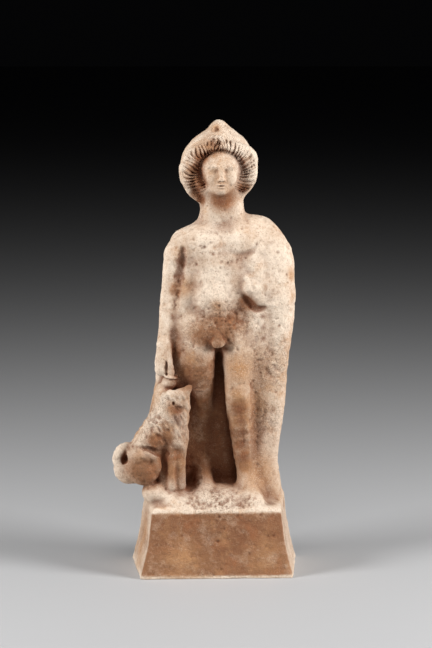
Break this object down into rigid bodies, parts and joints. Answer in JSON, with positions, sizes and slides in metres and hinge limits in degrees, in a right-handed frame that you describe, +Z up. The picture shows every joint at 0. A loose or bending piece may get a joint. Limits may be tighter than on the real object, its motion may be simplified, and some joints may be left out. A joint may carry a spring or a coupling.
{
  "type": "terracotta statuette",
  "caption": "Small moulded terracotta figure of a standing youth in a pointed cap and hanging cloak, with a seated dog, on a tapered plinth; stands on its flat underside.",
  "frame": {"origin": "middle of the plinth's flat underside", "axes": "+Z up through the figure, +X towards the viewer's right, +Y from the front to the back"},
  "size_m": [0.1162, 0.0548, 0.2799],
  "materials": {
    "terracotta": "matte, unglazed, with a worn pale slip"
  },
  "bodies": {
    "root": {"statuette": "terracotta"}
  },
  "joints": []
}
